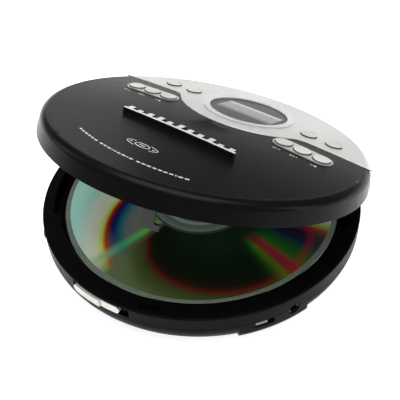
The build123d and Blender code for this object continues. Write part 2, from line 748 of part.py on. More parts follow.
with BuildPart() as grommets:
    post(Plane.XY.offset(grommet_low), grommet_spots, grommet_neck, grommet_high - grommet_low)
    post(Plane.XY.offset(grommet_low), grommet_spots, grommet_radius, frame_low - grommet_low)
    post(Plane.XY.offset(frame_high), grommet_spots, grommet_radius, grommet_high - frame_high)
    post(Plane.XY.offset(grommet_low - 1), grommet_spots, grommet_post, 6, Mode.SUBTRACT)
finish("grommets", grommets.part)

# ------------------------------------------------------------------ lens sled and its drive
sled_front, sled_back = lens_home + 4.0, lens_home + 13.6
with BuildPart() as laser_sled:
    block(Plane.XY.offset(sled_low), 2 * sled_half_width, sled_back - sled_front, sled_high - sled_low,
          (0, (sled_front + sled_back) / 2))
    block(Plane.XY.offset(sled_low), 2 * nose_half_width, 9.0, sled_high - sled_low, (0, lens_home + 0.4))
    post(Plane.XY.offset(sled_high - 1), [(0, lens_home)], turret_radius, turret_top - sled_high + 0.6)
    post(Plane.XY.offset(turret_top - 1.5), [(0, lens_home)], lens_radius, 4, Mode.SUBTRACT)
    with BuildSketch(Plane.XZ.offset(-sled_back - 5)) as sled_bores:
        with Locations((-rod_x, rod_z), (rod_x, rod_z)):
            Circle(rod_radius + running_gap)
    extrude(sled_bores.sketch, amount=40, mode=Mode.SUBTRACT)
    # step along the right underside, over the idler's wheel
    step_inner = idler_x - wheel_pitch - 0.6 * wheel_module - wheel_step_gap
    block(Plane.XY.offset(sled_low - 1), sled_half_width + 1 - step_inner, sled_back - sled_front + 2,
          gear_low + gear_height + wheel_step_gap - sled_low + 1,
          ((sled_half_width + 1 + step_inner) / 2, (sled_front + sled_back) / 2), Mode.SUBTRACT)
finish("laser_sled", laser_sled.part)

with BuildPart() as objective_lens:
    post(Plane.XY.offset(turret_top - 1.5), [(0, lens_home)], lens_radius, 1.5 + lens_crown)
    fillet(objective_lens.faces().sort_by(Axis.Z)[-1].edges(), 0.9 * lens_crown)
finish("objective_lens", objective_lens.part)

rack_start = gear_y - 3.0
rack_length = lens_travel + 8.0
rack_pitch = pi * rack_module
with BuildPart() as sled_rack:
    with BuildSketch(Plane.XY.offset(pinion_low + 0.2)) as rack_face:
        rack_root = rack_line - 1.2 * rack_module
        with Locations(((sled_half_width + rack_root) / 2, rack_start + rack_length / 2)):
            Rectangle(rack_root - sled_half_width, rack_length)
        tooth_count = int(rack_length / rack_pitch)
        rack_tip = 0.7 * rack_module
        half_pitch_line = rack_pitch / 4 - backlash / 2
        half_root = half_pitch_line + 1.2 * rack_module * tan(radians(20))
        half_tip = half_pitch_line - rack_tip * tan(radians(20))
        for tooth in range(-1, tooth_count - 2):
            middle = gear_y + (tooth + 0.5) * rack_pitch
            with BuildLine():
                Polyline(
                    (rack_root - 0.05, middle - half_root), (rack_line + rack_tip, middle - half_tip),
                    (rack_line + rack_tip, middle + half_tip), (rack_root - 0.05, middle + half_root),
                    close=True,
                )
            make_face()
    extrude(rack_face.sketch, amount=pinion_height - 0.4)
finish("sled_rack", sled_rack.part)

with BuildPart() as idler_gear:
    gear(Plane((idler_x, gear_y, gear_low)), wheel_module, wheel_teeth, 0.6, 1.2, 0.0, gear_height)
    gear(Plane((idler_x, gear_y, gear_low + gear_height - 0.1)), rack_module, pinion_teeth, 1.0, 1.0, 0.0,
         pinion_low + pinion_height - gear_low - gear_height + 0.1)
    post(Plane((idler_x, gear_y, gear_low)), [(0, 0)], gear_axle_radius, frame_high - gear_low)
finish("idler_gear", idler_gear.part)

with BuildPart() as sled_pinion:
    gear(Plane((motor_gear_x, gear_y, gear_low)), wheel_module, motor_pinion_teeth, 1.0, 1.0,
         180.0 / motor_pinion_teeth, gear_height)
    post(Plane((motor_gear_x, gear_y, gear_low)), [(0, 0)], gear_axle_radius, 4.4)
finish("sled_pinion", sled_pinion.part)

with BuildPart() as sled_motor:
    motor_can_low = gear_low + gear_height + 0.4
    post(Plane.XY.offset(motor_can_low), [(motor_gear_x, gear_y)], sled_motor_radius, frame_low - motor_can_low)
    post(Plane.XY.offset(motor_can_low - 1), [(motor_gear_x, gear_y)], gear_axle_radius + running_gap, 6,
         Mode.SUBTRACT)
finish("sled_motor", sled_motor.part)

# ------------------------------------------------------------------ main board
with BuildPart() as main_board:
    with BuildSketch(Plane.XY.offset(board_low)) as board_area:
        Circle(board_radius)
        with Locations((board_edge_x + 30, -20)):
            Rectangle(60, 60, mode=Mode.INTERSECT)
        with Locations((board_edge_x + 7, gear_y)):
            Rectangle(26, 17, mode=Mode.SUBTRACT)
        with Locations(polar(boss_ring_radius, boss_angles[3])):
            Circle(boss_radius + 0.4, mode=Mode.SUBTRACT)
    extrude(board_area.sketch, amount=board_thickness)
finish("main_board", main_board.part)

with BuildPart() as board_chips:
    block(Plane.XY.offset(board_low - 1.4), 12.0, 12.0, 1.4, (53.0, -20.0))
    block(Plane.XY.offset(board_low - 1.2), 9.0, 7.0, 1.2, (42.0, -2.0))
    block(Plane.XY.offset(board_high), 8.0, 6.0, 1.2, (41.0, 3.5))
    block(Plane.XY.offset(board_low - 1.2), 6.0, 5.0, 1.2, (32.0, 4.0))
    post(Plane.XY.offset(board_low - 4.0), ((52.0, -32.0), (56.0, 2.0)), 2.5, 4.0)
finish("board_chips", board_chips.part)

# ------------------------------------------------------------------ batteries
with BuildPart() as battery_cells:
    for row in (0, 1):
        middle = bay_front + cell_gap + cell_width / 2 + row * (cell_width + cell_gap)
        with BuildSketch(Plane.YZ.offset(-cell_length / 2)) as cell_end:
            with Locations((middle, cell_low + cell_height / 2)):
                RectangleRounded(cell_width, cell_height, 2.2)
        extrude(cell_end.sketch, amount=cell_length)
finish("battery_cells", battery_cells.part)

with BuildPart() as battery_contacts:
    for side in (-1, 1):
        for row in (0, 1):
            middle = bay_front + cell_gap + cell_width / 2 + row * (cell_width + cell_gap)
            block(Plane.XY.offset(floor_top + 0.6), 0.4, 10.0, 5.0, (side * (bay_half - 0.2), middle))
            block(Plane.XY.offset(floor_top + 2.0), 1.1, 3.0, 2.2, (side * (bay_half - 0.95), middle))
finish("battery_contacts", battery_contacts.part)

with BuildPart() as battery_door:
    with BuildSketch(Plane.XZ) as door_half:
        with BuildLine():
            belly_outline(flat_bottom_radius, case_radius, foot_height, belly_height, parting_height)
        make_face()
    revolve(door_half.sketch, axis=Axis.Z)
    with BuildSketch(Plane.XY.offset(foot_height)) as door_area:
        with Locations((0, bay_front + 30)):
            Rectangle(2 * (bay_half - 0.7 - door_gap), 60)
    extrude(door_area.sketch, amount=door_thickness, mode=Mode.INTERSECT)
    with BuildSketch(Plane.XY.offset(foot_height)) as grip:
        with GridLocations(0, 2.4, 1, 4):
            with Locations((0, bay_front + 9)):
                SlotOverall(14, 1.0)
    extrude(grip.sketch, amount=0.4, mode=Mode.SUBTRACT)
finish("battery_door", battery_door.part)


# ------------------------------------------------------------------ lid outlines
def panel_area(gap):
    """The silver panel's outline, grown by a gap."""
    with BuildSketch(lid_plane(-10)) as area:
        with Locations((0, panel_edge_y - gap + 40)):
            Rectangle(160, 80)
        with Locations((0, panel_bump_y)):
            Circle(panel_bump_radius + gap)
        corners = area.vertices().filter_by(lambda v: abs((v - lid_plane(-10).origin).X) < 40)
        fillet(corners, panel_corner_radius - gap)
    return area.sketch


def pill_area(side, grow):
    """A key group's oblong outline, grown all round."""
    with BuildSketch(lid_plane(-10)) as area:
        with Locations(Location((side * pill_x, pill_y, 0), (0, 0, -side * pill_tilt))):
            SlotOverall(pill_length + 2 * grow, pill_width + 2 * grow)
    return area.sketch


def key_spots(side):
    """Centres of the three keys in one oblong."""
    c, s = cos(radians(-side * pill_tilt)), sin(radians(-side * pill_tilt))
    return [(side * pill_x + k * key_pitch * c, pill_y + k * key_pitch * s) for k in (-1, 0, 1)]


def round_area(spots, radius):
    """Circles across the lid."""
    with BuildSketch(lid_plane(-10)) as area:
        with Locations(*spots):
            Circle(radius)
    return area.sketch


all_key_spots = key_spots(-1) + key_spots(1)
button_spots = [(x, window_y) for x in panel_button_xs]

# ------------------------------------------------------------------ lid shell
with BuildPart() as panel_cutter:
    lid_skin(-1.0, panel_thickness + 0.1, panel_lower_edge - 0.15)
    keep_outline(panel_area(0.12))

pill_cutters = []
for side in (-1, 1):
    with BuildPart() as pill_cutter:
        lid_skin(-1.0, panel_thickness + 0.1, panel_lower_edge)
        keep_outline(pill_area(side, 0.1))
    pill_cutters.append(pill_cutter.part)

with BuildPart() as lid_shell:
    lid_body(0.0, lid_rim)
    with BuildSketch(lid_section()) as hollow:
        with BuildLine():
            lid_outline(lid_thickness, lid_rim - 1)
        make_face()
    revolve(hollow.sketch, axis=lid_axis, mode=Mode.SUBTRACT)
    add(panel_cutter.part, mode=Mode.SUBTRACT)
    for cutter in pill_cutters:
        add(cutter, mode=Mode.SUBTRACT)
    post(lid_plane(lid_rim), all_key_spots, key_hole_radius, 20, Mode.SUBTRACT)
    post(lid_plane(lid_rim), button_spots, button_hole_radius, 20, Mode.SUBTRACT)
    block(lid_plane(lid_rim), lcd_view_width, lcd_view_depth, 20, (0, window_y), Mode.SUBTRACT)
    # screw bosses
    post(lid_plane(cover_low + cover_thickness), [polar(lid_screw_ring, a) for a in lid_screw_angles],
         boss_radius, 4.6)
    post(lid_plane(cover_low), [polar(lid_screw_ring, a) for a in lid_screw_angles], screw_radius, 4.6,
         Mode.SUBTRACT)
    # peg for the lid switch
    post(lid_plane(parting_height + 1.2), [polar(peg_reach, peg_angle)], peg_radius, 9.0)
    band(hook_inner - 0.05, hook_outer + 0.05, lid_rim - 1, hook_top + 0.05, hook_start - 0.05,
         hook_end + 0.05, Mode.SUBTRACT, lid=True)
    # hinge lugs
    for side in (-1, 1):
        middle = side * (lug_outer + lug_inner) / 2
        lug_plane = Plane(origin=lid_frame.from_local_coords((middle - (lug_outer - lug_inner) / 2, 0, 0)),
                          x_dir=lid_frame.y_dir, z_dir=lid_frame.x_dir)
        with BuildSketch(lug_plane) as lug:
            with Locations((hinge_y - 0.3, (hinge_z + lid_rim + lug_root) / 2)):
                Rectangle(lug_depth, lid_rim + lug_root - hinge_z)
            with Locations((hinge_y, hinge_z)):
                Circle(hinge_barrel_radius)
                Circle(hinge_pin_radius + running_gap, mode=Mode.SUBTRACT)
        extrude(lug.sketch, amount=lug_outer - lug_inner)
finish("lid_shell", lid_shell.part)

# ------------------------------------------------------------------ silver panel, window and bezels
with BuildPart() as control_panel:
    lid_skin(0.0, panel_thickness, panel_lower_edge)
    keep_outline(panel_area(0.0))
    post(lid_plane(lid_rim), button_spots, button_hole_radius, 20, Mode.SUBTRACT)
    post(lid_plane(lid_rim), [(0, window_y)], ring_outer_radius, 20, Mode.SUBTRACT)
finish("control_panel", control_panel.part)

with BuildPart() as lcd_ring:
    lid_skin(-0.4, panel_thickness, panel_lower_edge)
    with BuildSketch(lid_plane(-10)) as annulus:
        with Locations((0, window_y)):
            Circle(ring_outer_radius)
            Circle(window_radius, mode=Mode.SUBTRACT)
    keep_outline(annulus.sketch)
finish("lcd_ring", lcd_ring.part)

with BuildPart() as lcd_window:
    lid_skin(0.1, panel_thickness, panel_lower_edge)
    keep_outline(round_area([(0, window_y)], window_radius))
finish("lcd_window", lcd_window.part)

for name, side in (("left_key_bezel", -1), ("right_key_bezel", 1)):
    with BuildPart() as key_bezel:
        lid_skin(-0.35, panel_thickness, panel_lower_edge)
        keep_outline(pill_area(side, 0.0))
        post(lid_plane(lid_rim), key_spots(side), key_hole_radius, 20, Mode.SUBTRACT)
    finish(name, key_bezel.part)

# ------------------------------------------------------------------ keys
key_names = ("left_key_outer", "left_key_middle", "left_key_inner",
             "right_key_inner", "right_key_middle", "right_key_outer")
for name, spot in zip(key_names, all_key_spots):
    with BuildPart() as key:
        lid_skin(-0.95, key_travel_room, panel_lower_edge)
        keep_outline(round_area([spot], key_radius))
        fillet(key.edges().group_by(Axis(lid_frame.origin, lid_frame.z_dir))[-1], 0.5)
    finish(name, key.part)

button_names = ("button_far_left", "button_near_left", "button_near_right", "button_far_right")
for name, spot in zip(button_names, button_spots):
    with BuildPart() as button:
        lid_skin(-0.6, key_travel_room, panel_lower_edge)
        keep_outline(round_area([spot], panel_button_radius))
        fillet(button.edges().group_by(Axis(lid_frame.origin, lid_frame.z_dir))[-1], 0.3)
    finish(name, button.part)

# ------------------------------------------------------------------ badge
with BuildPart() as badge:
    lid_skin(-badge_rise, 0.0, panel_lower_edge)
    with BuildSketch(lid_plane(-10)) as badge_area:
        with Locations((0, badge_y)):
            Rectangle(badge_length, 1.4)
        bar_count = 11
        for bar in range(bar_count):
            height = 2.2 + 1.5 * sin(pi * (bar + 0.5) / bar_count) + 0.7 * cos(2.4 * bar)
            x = badge_length * ((bar + 0.5) / bar_count - 0.5)
            with Locations((x, badge_y + height / 2)):
                Rectangle(2.4, height)
    keep_outline(badge_area.sketch)
finish("badge", badge.part)

# ------------------------------------------------------------------ inside the lid
with BuildPart() as lid_cover:
    post(lid_plane(cover_low), [(0, 0)], cover_radius, cover_thickness)
    post(lid_plane(cover_low - 1), [(0, 0)], hub_radius + 4, 1.6, Mode.SUBTRACT)
    with BuildSketch(lid_plane(cover_low - 0.3)) as ribs:
        Circle(disc_radius - 6)
        Circle(disc_radius - 7.2, mode=Mode.SUBTRACT)
    extrude(ribs.sketch, amount=0.6)
    spots = [polar(lid_screw_ring, a) for a in lid_screw_angles]
    post(lid_plane(cover_low - 1), spots, screw_head_radius + 0.1, 1.6, Mode.SUBTRACT)
    post(lid_plane(cover_low - 1), spots, screw_radius + 0.1, 4, Mode.SUBTRACT)
    band(hook_inner - 0.3, cover_radius + 1, cover_low - 1, cover_low + 3, hook_start - 0.4,
         hook_end + 0.4, Mode.SUBTRACT, lid=True)
    post(lid_plane(cover_low - 1), [polar(peg_reach, peg_angle)], peg_radius + 0.8, 4, Mode.SUBTRACT)
    block(lid_plane(cover_low - 1), 2 * lug_outer + 1, 8, 4, (0, hinge_y + 1.4), Mode.SUBTRACT)
finish("lid_cover", lid_cover.part)

with BuildPart() as lid_screws:
    post(lid_plane(cover_low), spots, screw_head_radius, 0.6)
    post(lid_plane(cover_low), spots, screw_radius, 4.4)
    with BuildSketch(lid_plane(cover_low - 0.2)) as crosses:
        with Locations(*spots):
            Rectangle(2.0, 0.5)
            Rectangle(0.5, 2.0)
    extrude(crosses.sketch, amount=0.6, mode=Mode.SUBTRACT)
finish("lid_screws", lid_screws.part)

with BuildPart() as lid_board:
    with BuildSketch(lid_plane(lid_board_low)) as board_shape:
        with Locations((0, 22)):
            RectangleRounded(100, 46, 4)
        Circle(57.0, mode=Mode.INTERSECT)
    extrude(board_shape.sketch, amount=lid_board_thickness)
finish("lid_board", lid_board.part)

with BuildPart() as key_switches:
    post(lid_plane(lid_board_high), all_key_spots + button_spots, 2.5, 0.5)
    post(lid_plane(lid_board_high), all_key_spots + button_spots, 1.4, 0.7)
finish("key_switches", key_switches.part)

with BuildPart() as lcd_module:
    block(lid_plane(lid_board_high), 31.0, 17.0, 2.4, (0, window_y))
    block(lid_plane(lid_board_high), 28.0, 12.6, 2.9, (0, window_y))
finish("lcd_module", lcd_module.part)

with BuildPart() as lid_hook:
    band(hook_inner, hook_outer, hook_low, hook_top, hook_start, hook_end, lid=True)
    band(hook_inner, hook_outer, hook_low, hook_low + barb_height, hook_end - 0.2, hook_barb_end, lid=True)
finish("lid_hook", lid_hook.part)

print(len(pieces), "pieces")
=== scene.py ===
"""Looks, light and camera for the portable disc player. Metres; +Z up; the front faces -Y."""
import bpy
import json
import math
from mathutils import Matrix, Vector


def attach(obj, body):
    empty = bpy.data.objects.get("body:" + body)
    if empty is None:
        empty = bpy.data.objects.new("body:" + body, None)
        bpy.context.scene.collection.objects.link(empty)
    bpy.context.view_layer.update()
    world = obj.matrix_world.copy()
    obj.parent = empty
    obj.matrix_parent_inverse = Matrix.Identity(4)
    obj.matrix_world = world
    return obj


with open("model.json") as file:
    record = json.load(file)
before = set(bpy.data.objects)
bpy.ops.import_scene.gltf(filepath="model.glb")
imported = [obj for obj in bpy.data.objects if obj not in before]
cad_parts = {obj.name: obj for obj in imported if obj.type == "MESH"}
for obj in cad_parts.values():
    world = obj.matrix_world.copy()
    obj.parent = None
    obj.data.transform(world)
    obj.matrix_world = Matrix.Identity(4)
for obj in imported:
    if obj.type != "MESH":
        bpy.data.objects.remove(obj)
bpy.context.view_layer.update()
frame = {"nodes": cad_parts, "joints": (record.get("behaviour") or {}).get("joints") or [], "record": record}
nodes = frame["nodes"]

MM = 0.001
hinge = next(j for j in frame["joints"] if j["name"] == "lid_hinge")
TILT = math.radians(-hinge["range_deg"][0])
HINGE = Vector(hinge["pos_m"])
LID = (
    Matrix.Translation(HINGE)
    @ Matrix.Rotation(-TILT, 4, "X")
    @ Matrix.Translation(-HINGE)
)
LID_TOP = 28.1              # height of the lid's middle above the table, in mm
DOME_RADIUS = 1260.9        # radius of the lid's shallow dome, in mm
WINDOW_Y = 31.6             # centre of the display window on the shut lid, in mm
DISPLAY_X = 0.6             # the display sits slightly right of the window's middle
PANEL_ARC_Y = 39.9          # centre of the panel's rounded front
DEGREES = 57.29578          # degrees in a radian
CAP_SLOPE = 0.6             # a face that leans further than this belongs to a cap's side

# disc, in mm
HUB_START = 7.0
DATA_START = 23.0
DATA_END = 57.8
RING_PITCH = 15.0           # radians per mm of the rings in the clear rim, painted light and dark lines standing for highlights and shade
GROOVE_PITCH = 40.0         # radians per mm of the fine grooves

# marks on the lid, in mm
DASH_HEIGHT = 0.75
DASH_GAP = 0.62
WORD_GAP = 1.0
DASH_START = -110.6         # degrees
MARK_Y = -43.6
KEY_ROW_X, KEY_ROW_Y = 38.8, 1.7
KEY_STEP, KEY_RISE = 8.85, 0.4
PANEL_ICON_Y = 37.2
PANEL_ICON_X = (-43.0, -31.0, 31.0, 43.0)

# grip ribs on the latch slider
RIB_COUNT = 9
RIB_START, RIB_STEP = -97.0, 1.1        # degrees
RIB_RADII = (70.2, 70.29)               # mm
RIB_HEIGHTS = (13.9, 16.1)              # mm
RIB_HALF_TURN = 0.0032                  # radians


# ------------------------------------------------------------------ colour and node helpers
def tone(r, g, b):
    """A colour given as display values 0-255."""
    return tuple(
        (v / 255) / 12.92 if v <= 10 else ((v / 255 + 0.055) / 1.055) ** 2.4 for v in (r, g, b)
    ) + (1.0,)


def grey(v):
    return tone(v, v, v)


class Look:
    """A material with a Principled shader and a few short ways to add nodes to it."""

    def __init__(self, name, colour, rough, metal=0.0, coat=0.0, ior=1.5):
        self.mat = bpy.data.materials.new(name)
        self.mat.use_nodes = True
        self.tree = self.mat.node_tree
        self.bsdf = self.tree.nodes["Principled BSDF"]
        self.bsdf.inputs["Base Color"].default_value = colour
        self.bsdf.inputs["Roughness"].default_value = rough
        self.bsdf.inputs["Metallic"].default_value = metal
        self.bsdf.inputs["IOR"].default_value = ior
        self.bsdf.inputs["Coat Weight"].default_value = coat
        self.bsdf.inputs["Coat Roughness"].default_value = 0.12
        self.colour = colour
        self.rough = rough
        self.place = self.new("ShaderNodeTexCoord").outputs["Object"]

    def new(self, kind, **settings):
        node = self.tree.nodes.new(kind)
        for key, value in settings.items():
            setattr(node, key, value)
        return node

    def put(self, socket, value):
        if isinstance(value, bpy.types.NodeSocket):
            self.tree.links.new(value, socket)
        else:
            socket.default_value = value

    def math(self, operation, a, b=None, c=None, clamp=False):
        node = self.new("ShaderNodeMath", operation=operation, use_clamp=clamp)
        for socket, value in zip(node.inputs, (a, b, c)):
            if value is not None:
                self.put(socket, value)
        return node.outputs[0]

    def stretch(self, scale, turn=(0, 0, 0)):
        node = self.new("ShaderNodeMapping")
        self.put(node.inputs["Vector"], self.place)
        node.inputs["Scale"].default_value = scale
        node.inputs["Rotation"].default_value = turn
        return node.outputs[0]

    def noise(self, scale, detail=3.0, rough=0.55, where=None):
        node = self.new("ShaderNodeTexNoise")
        self.put(node.inputs["Vector"], where or self.place)
        node.inputs["Scale"].default_value = scale
        node.inputs["Detail"].default_value = detail
        node.inputs["Roughness"].default_value = rough
        return node.outputs["Fac"]

    def spread(self, value, low, high, to_low=0.0, to_high=1.0):
        node = self.new("ShaderNodeMapRange")
        self.put(node.inputs["Value"], value)
        node.inputs["From Min"].default_value = low
        node.inputs["From Max"].default_value = high
        node.inputs["To Min"].default_value = to_low
        node.inputs["To Max"].default_value = to_high
        return node.outputs[0]

    def ramp(self, value, stops):
        node = self.new("ShaderNodeValToRGB")
        self.put(node.inputs["Fac"], value)
        marks = node.color_ramp.elements
        while len(marks) < len(stops):
            marks.new(0.5)
        for mark, (at, colour) in zip(marks, stops):
            mark.position = at
            mark.color = colour
        return node.outputs["Color"]

    def mix(self, share, a, b, blend="MIX"):
        node = self.new("ShaderNodeMix", data_type="RGBA", blend_type=blend)
        self.put(node.inputs[0], share)
        self.put(node.inputs[6], a)
        self.put(node.inputs[7], b)
        return node.outputs[2]

    def bump(self, height, strength, distance):
        node = self.new("ShaderNodeBump")
        node.inputs["Strength"].default_value = strength
        node.inputs["Distance"].default_value = distance
        self.put(node.inputs["Height"], height)
        if self.bsdf.inputs["Normal"].is_linked:
            self.put(node.inputs["Normal"], self.bsdf.inputs["Normal"].links[0].from_socket)
        self.put(self.bsdf.inputs["Normal"], node.outputs["Normal"])

    def vary(self, amount=0.12, scale=45.0, dull=0.14):
        """Slow change of colour and gloss over the piece."""
        share = self.noise(scale, 4.0, 0.6)
        darker = tuple(c * (1 - amount) for c in self.colour[:3]) + (1.0,)
        lighter = tuple(min(1.0, c * (1 + amount)) for c in self.colour[:3]) + (1.0,)
        self.surface = self.mix(self.spread(share, 0.3, 0.7), darker, lighter)
        self.put(self.bsdf.inputs["Base Color"], self.surface)
        smear = self.noise(scale * 2.3, 5.0, 0.65)
        self.put(
            self.bsdf.inputs["Roughness"],
            self.spread(smear, 0.3, 0.75, max(0.03, self.rough - dull / 3), self.rough + dull * 2 / 3),
        )

    def worn(self, radius, colour, share=0.5):
        """Edges rubbed to a second colour, broken up by noise."""
        soft = self.new("ShaderNodeBevel", samples=4)
        soft.inputs["Radius"].default_value = radius
        flat = self.new("ShaderNodeNewGeometry").outputs["Normal"]
        dot = self.new("ShaderNodeVectorMath", operation="DOT_PRODUCT")
        self.put(dot.inputs[0], soft.outputs["Normal"])
        self.put(dot.inputs[1], flat)
        edge = self.spread(dot.outputs["Value"], 0.97, 0.80)
        broken = self.spread(self.noise(700.0, 4.0), 0.42, 0.62)
        amount = self.math("MULTIPLY", self.math("MULTIPLY", edge, broken, clamp=True), share)
        self.surface = self.mix(amount, self.surface, colour)
        self.put(self.bsdf.inputs["Base Color"], self.surface)

    def scratches(self, strength=0.08):
        """A few long hairline scratches in two directions."""
        for turn, scale in ((0.5, (30.0, 2600.0, 30.0)), (2.0, (2200.0, 26.0, 26.0))):
            line = self.noise(1.0, 2.0, 0.5, self.stretch(scale, (0.0, 0.0, turn)))
            self.bump(self.spread(line, 0.68, 0.75), strength, 0.00002)


def plastic(name, colour, rough, coat=0.0, grain=1400.0, depth=0.00003, strength=0.25, wear=grey(70), rub=0.35,
            shine=0.5, dull=0.14):
    look = Look(name, colour, rough, coat=coat)
    look.bsdf.inputs["Specular IOR Level"].default_value = shine
    look.vary(dull=dull)
    look.worn(0.0004, wear, rub)
    look.bump(look.noise(grain, 3.0, 0.6), strength, depth)
    return look


def metal(name, colour, rough, along=(40.0, 1500.0, 1500.0), strength=0.12):
    look = Look(name, colour, rough, metal=1.0)
    look.vary(0.10, 60.0)
    look.bump(look.noise(1.0, 3.0, 0.5, look.stretch(along)), strength, 0.00002)
    return look


looks = {}

lid = plastic("charcoal_lid", tone(15, 15, 16), 0.27, grain=900.0, depth=0.000004, strength=0.05,
              wear=grey(50), rub=0.2, shine=0.075, dull=0.02)
lid.scratches(0.012)
dust = lid.spread(lid.noise(1900.0, 2.0), 0.76, 0.82, 0.0, 0.25)
lid.put(lid.bsdf.inputs["Base Color"], lid.mix(dust, lid.surface, grey(90)))
looks["charcoal_lid"] = lid

case = plastic("black_case", tone(9, 9, 11), 0.36, grain=1500.0, depth=0.00001, strength=0.12, wear=grey(40),
               rub=0.25, shine=0.035)
case.scratches(0.04)
looks["black_case"] = case

panel = Look("silver_panel", tone(206, 208, 205), 0.38, metal=0.25, coat=0.15)
panel.vary(0.05, 30.0)
fleck = panel.spread(panel.noise(5200.0, 2.0, 0.8), 0.55, 0.72, 0.0, 0.5)
panel.surface = panel.mix(fleck, panel.surface, grey(240))
panel.put(panel.bsdf.inputs["Base Color"], panel.surface)
panel.worn(0.0005, grey(150), 0.4)
panel.bump(panel.noise(2600.0, 2.0), 0.06, 0.00001)
panel.scratches(0.03)
looks["silver_panel"] = panel

looks["bright_trim"] = metal("bright_trim", tone(203, 202, 196), 0.30, strength=0.05)
looks["bright_trim"].bsdf.inputs["Metallic"].default_value = 0.5
looks["key_silver"] = plastic("key_silver", tone(206, 204, 196), 0.34, grain=2600.0, strength=0.05, wear=grey(140))
looks["key_silver"].worn(0.0003, grey(120), 0.5)
looks["badge_plate"] = metal("badge_plate", tone(232, 233, 235), 0.22, strength=0.03)
looks["badge_plate"].bsdf.inputs["Metallic"].default_value = 0.3
looks["steel_bright"] = metal("steel_bright", grey(205), 0.18)
looks["steel_zinc"] = metal("steel_zinc", tone(186, 186, 180), 0.36, (500.0, 500.0, 500.0), 0.15)
looks["motor_can"] = metal("motor_can", tone(190, 190, 190), 0.30, (60.0, 60.0, 2200.0), 0.15)
looks["contact_brass"] = metal("contact_brass", tone(214, 184, 112), 0.26)
looks["rubber_black"] = plastic("rubber_black", tone(28, 28, 28), 0.75, grain=900.0, strength=0.4, wear=grey(60))
looks["gear_white"] = plastic("gear_white", tone(226, 224, 212), 0.42, grain=1200.0, wear=grey(160))
looks["platter_black"] = plastic("platter_black", tone(34, 34, 36), 0.5, grain=1600.0, strength=0.35)
looks["sled_black"] = plastic("sled_black", tone(36, 36, 39), 0.52, grain=1600.0, strength=0.35)
looks["chip_black"] = plastic("chip_black", tone(32, 32, 34), 0.55, grain=2400.0, strength=0.3)
looks["jack_black"] = plastic("jack_black", tone(20, 20, 22), 0.30, grain=1500.0)
looks["switch_grey"] = plastic("switch_grey", tone(120, 121, 124), 0.45, grain=1500.0, wear=grey(180))
looks["cell_sleeve"] = plastic("cell_sleeve", tone(70, 112, 108), 0.28, coat=0.4, grain=800.0, strength=0.05)

board = Look("board_green", tone(20, 78, 42), 0.35, coat=0.4)
board.vary(0.15, 80.0)
tracks = board.new("ShaderNodeTexBrick")
board.put(tracks.inputs["Vector"], board.place)
tracks.inputs["Scale"].default_value = 130.0
tracks.inputs["Mortar Size"].default_value = 0.06
tracks.inputs["Color1"].default_value = grey(0)
tracks.inputs["Color2"].default_value = grey(0)
tracks.inputs["Mortar"].default_value = grey(255)
board.surface = board.mix(board.math("MULTIPLY", tracks.outputs["Color"], 0.5), board.surface, tone(60, 140, 80))
board.put(board.bsdf.inputs["Base Color"], board.surface)
board.bump(tracks.outputs["Color"], 0.3, 0.00004)
looks["board_green"] = board

lens = Look("lens_glass", tone(110, 130, 210), 0.05, coat=1.0)
lens.vary(0.1, 300.0)
lens.bsdf.inputs["Transmission Weight"].default_value = 0.4
looks["lens_glass"] = lens

display = Look("lcd_grey", tone(170, 178, 170), 0.25, coat=0.6)
display.vary(0.04, 120.0)
display.bump(display.noise(2500.0), 0.05, 0.00001)
looks["lcd_grey"] = display


# ------------------------------------------------------------------ lid coordinates inside a material
def lid_coordinates(look):
    """Sockets holding x and y across the shut lid, in millimetres."""
    origin = LID.translation
    shifted = look.new("ShaderNodeVectorMath", operation="SUBTRACT")
    look.put(shifted.inputs[0], look.place)
    shifted.inputs[1].default_value = origin
    out = []
    for column in (0, 1):
        dot = look.new("ShaderNodeVectorMath", operation="DOT_PRODUCT")
        look.put(dot.inputs[0], shifted.outputs[0])
        dot.inputs[1].default_value = LID.col[column].xyz / MM
        out.append(dot.outputs["Value"])
    return out


def inside(look, x, y, centre, half, soft=0.15):
    """1 inside a rectangle across the lid and 0 outside it."""
    parts = []
    for value, middle, reach in ((x, centre[0], half[0]), (y, centre[1], half[1])):
        away = look.math("ABSOLUTE", look.math("SUBTRACT", value, middle))
        parts.append(look.spread(away, reach + soft, reach - soft))
    return look.math("MULTIPLY", parts[0], parts[1], clamp=True)


window = Look("window_black", tone(76, 75, 74), 0.26)
window.bsdf.inputs["Specular IOR Level"].default_value = 0.04
window.vary(0.05, 60.0)
wx, wy = lid_coordinates(window)
# the window's greys are partly a painted reflection of the bright surroundings, with its own reflection nearly off;
# the bright band near the top is a painted highlight on the display's bevel, and a darker band lies near the bottom
mask = window.mix(inside(window, wx, wy, (DISPLAY_X, WINDOW_Y), (14.9, 7.1)), window.surface, grey(56))
glass = window.mix(inside(window, wx, wy, (DISPLAY_X, WINDOW_Y), (14.2, 6.4)), mask, tone(150, 154, 151))
bright = window.mix(inside(window, wx, wy, (DISPLAY_X, WINDOW_Y + 5), (13.6, 1.1), 0.6), glass, tone(196, 200, 197))
strip = window.mix(inside(window, wx, wy, (DISPLAY_X, WINDOW_Y - 5), (13.8, 0.7), 0.5), bright, tone(112, 117, 114))
window.surface = strip
window.put(window.bsdf.inputs["Base Color"], strip)
window.bump(window.noise(300.0), 0.02, 0.00001)
looks["window_black"] = window

ring = Look("ring_trim", tone(204, 206, 203), 0.24, metal=0.45)
ring.vary(0.05, 60.0, 0.04)
rx, ry = lid_coordinates(ring)
ring_y = ring.math("SUBTRACT", ry, WINDOW_Y)
reach = ring.math("SQRT", ring.math("ADD", ring.math("MULTIPLY", rx, rx), ring.math("MULTIPLY", ring_y, ring_y)))
turned = ring.math("SINE", ring.math("MULTIPLY", reach, 6.5))
ring.surface = ring.mix(ring.spread(turned, 0.55, 1.0, 0.0, 0.35), ring.surface, grey(110))
ring.put(ring.bsdf.inputs["Base Color"], ring.surface)
ring.bump(turned, 0.25, 0.00012)
looks["ring_trim"] = ring


